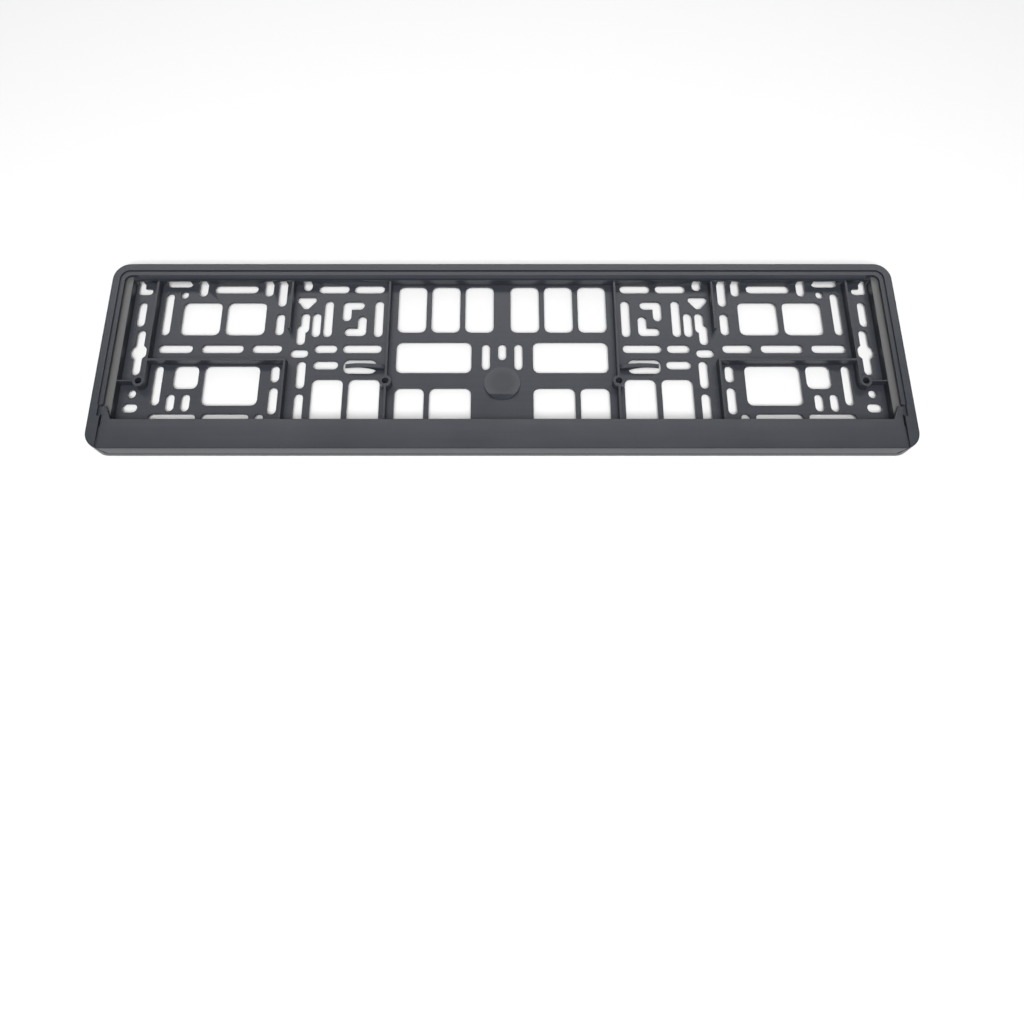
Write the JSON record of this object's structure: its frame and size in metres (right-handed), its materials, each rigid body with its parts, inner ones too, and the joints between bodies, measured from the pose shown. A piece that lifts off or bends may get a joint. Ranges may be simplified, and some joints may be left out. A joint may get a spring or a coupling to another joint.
{
  "type": "number plate holder",
  "caption": "Long shallow plastic holder for a one-line car number plate: a slotted, ribbed back with a raised rim, and a clip-on strip along its lower edge.",
  "frame": {"origin": "middle of the back face, on the floor that the holder lies on", "axes": "+X along the plate, +Y up the plate to the top rail, +Z out of the front"},
  "size_m": [0.5358, 0.1334, 0.0165],
  "materials": {
    "frame_plastic": "satin",
    "strip_plastic": "satin"
  },
  "bodies": {
    "frame": {"base_frame": "frame_plastic"},
    "strip": {"clip_strip": "strip_plastic"}
  },
  "joints": [
    {"name": "strip_lift", "type": "slide", "parent": "frame", "child": "strip", "axis": [0, 0, 1], "range_m": [0, 0.025]}
  ]
}
